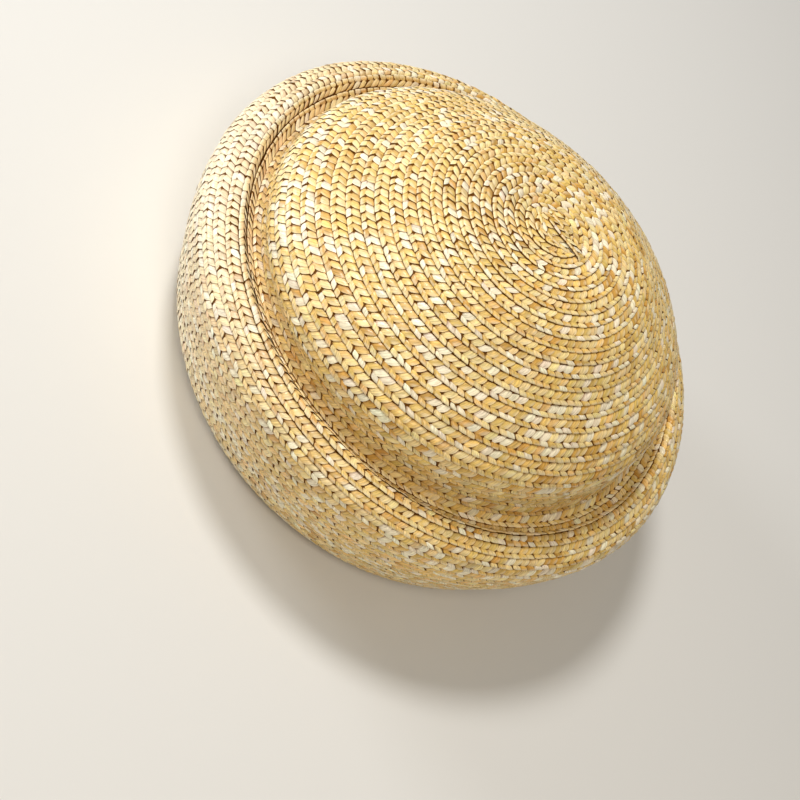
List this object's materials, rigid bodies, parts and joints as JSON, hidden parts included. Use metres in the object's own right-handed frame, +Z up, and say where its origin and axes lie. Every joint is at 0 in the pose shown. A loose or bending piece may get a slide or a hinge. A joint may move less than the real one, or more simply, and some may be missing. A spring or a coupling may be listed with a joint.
{
  "type": "sun hat",
  "caption": "Round straw sun hat sewn from lapped braid, with a domed crown, a creased groove round it, a rolled ridge and a deep side turned in under to the head opening.",
  "frame": {"origin": "centre of the head opening, on the surface that the hat rests on", "axes": "+Z up from the head opening to the crown, -Y the front, the head opening longer along Y"},
  "size_m": [0.2718, 0.2718, 0.147],
  "materials": {
    "straw_light": "glossy natural straw braid, pale gold",
    "straw_gold": "glossy natural straw braid, golden",
    "straw_shade": "glossy natural straw braid, deep gold"
  },
  "bodies": {
    "root": {"crown": "straw_light", "ridge": "straw_gold", "side": "straw_shade"}
  },
  "joints": []
}
